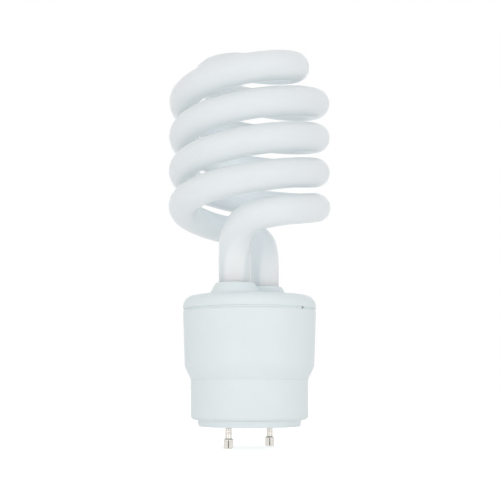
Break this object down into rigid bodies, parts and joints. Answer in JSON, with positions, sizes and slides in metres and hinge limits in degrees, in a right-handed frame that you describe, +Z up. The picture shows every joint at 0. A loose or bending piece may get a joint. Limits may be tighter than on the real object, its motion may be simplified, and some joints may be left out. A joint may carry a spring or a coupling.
{
  "type": "spiral compact fluorescent lamp",
  "caption": "Self-ballasted spiral fluorescent lamp: a coiled white glass tube on a round plastic ballast case with a twist-lock pin base.",
  "frame": {"origin": "centre of the base's seating face, midway between the contact pins", "axes": "+Z up along the lamp's axis from the base to the coil, the front seen in the picture faces -Y, +X to its right"},
  "size_m": [0.0664, 0.0664, 0.1621],
  "materials": {
    "tube_glass": "white coated inside, opaque, smooth outside",
    "case_plastic": "fine satin moulding",
    "pin_nickel": "nickel plated, turned",
    "cement": "matt",
    "board": "matt laminate",
    "can_sleeve": "shrunk sleeve",
    "film_case": "dipped",
    "ferrite": "matt sintered",
    "bobbin_plastic": "moulded",
    "copper": "enamelled",
    "moulded_black": "moulded",
    "diode_glass": "glazed bead",
    "resistor_coat": "lacquered",
    "tinned_wire": "tinned",
    "wire_sleeve": "extruded"
  },
  "bodies": {
    "root": {"ballast_housing": "case_plastic", "base_cap": "case_plastic", "blocking_capacitor": "film_case", "bulk_capacitor": "can_sleeve", "choke_bobbin": "bobbin_plastic", "choke_core_left": "ferrite", "choke_core_right": "ferrite", "choke_winding": "copper", "circuit_board": "board", "filter_choke_core": "ferrite", "filter_choke_winding": "copper", "front_leg_cement": "cement", "front_tube_wire_a": "tinned_wire", "front_tube_wire_b": "tinned_wire", "front_wrap_post_a": "tinned_wire", "front_wrap_post_b": "tinned_wire", "fuse_resistor": "resistor_coat", "left_contact_pin": "pin_nickel", "left_supply_wire": "wire_sleeve", "lower_start_resistor": "resistor_coat", "lower_transistor": "moulded_black", "rear_leg_cement": "cement", "rear_tube_wire_a": "tinned_wire", "rear_tube_wire_b": "tinned_wire", "rear_wrap_post_a": "tinned_wire", "rear_wrap_post_b": "tinned_wire", "rectifier_diode_1": "moulded_black", "rectifier_diode_2": "moulded_black", "rectifier_diode_3": "moulded_black", "rectifier_diode_4": "moulded_black", "resonance_capacitor": "film_case", "right_contact_pin": "pin_nickel", "right_supply_wire": "wire_sleeve", "spiral_tube": "tube_glass", "starting_capacitor": "film_case", "toroid_core": "ferrite", "toroid_winding": "copper", "trigger_diode": "diode_glass", "tube_cover": "case_plastic", "upper_start_resistor": "resistor_coat", "upper_transistor": "moulded_black"}
  },
  "joints": []
}
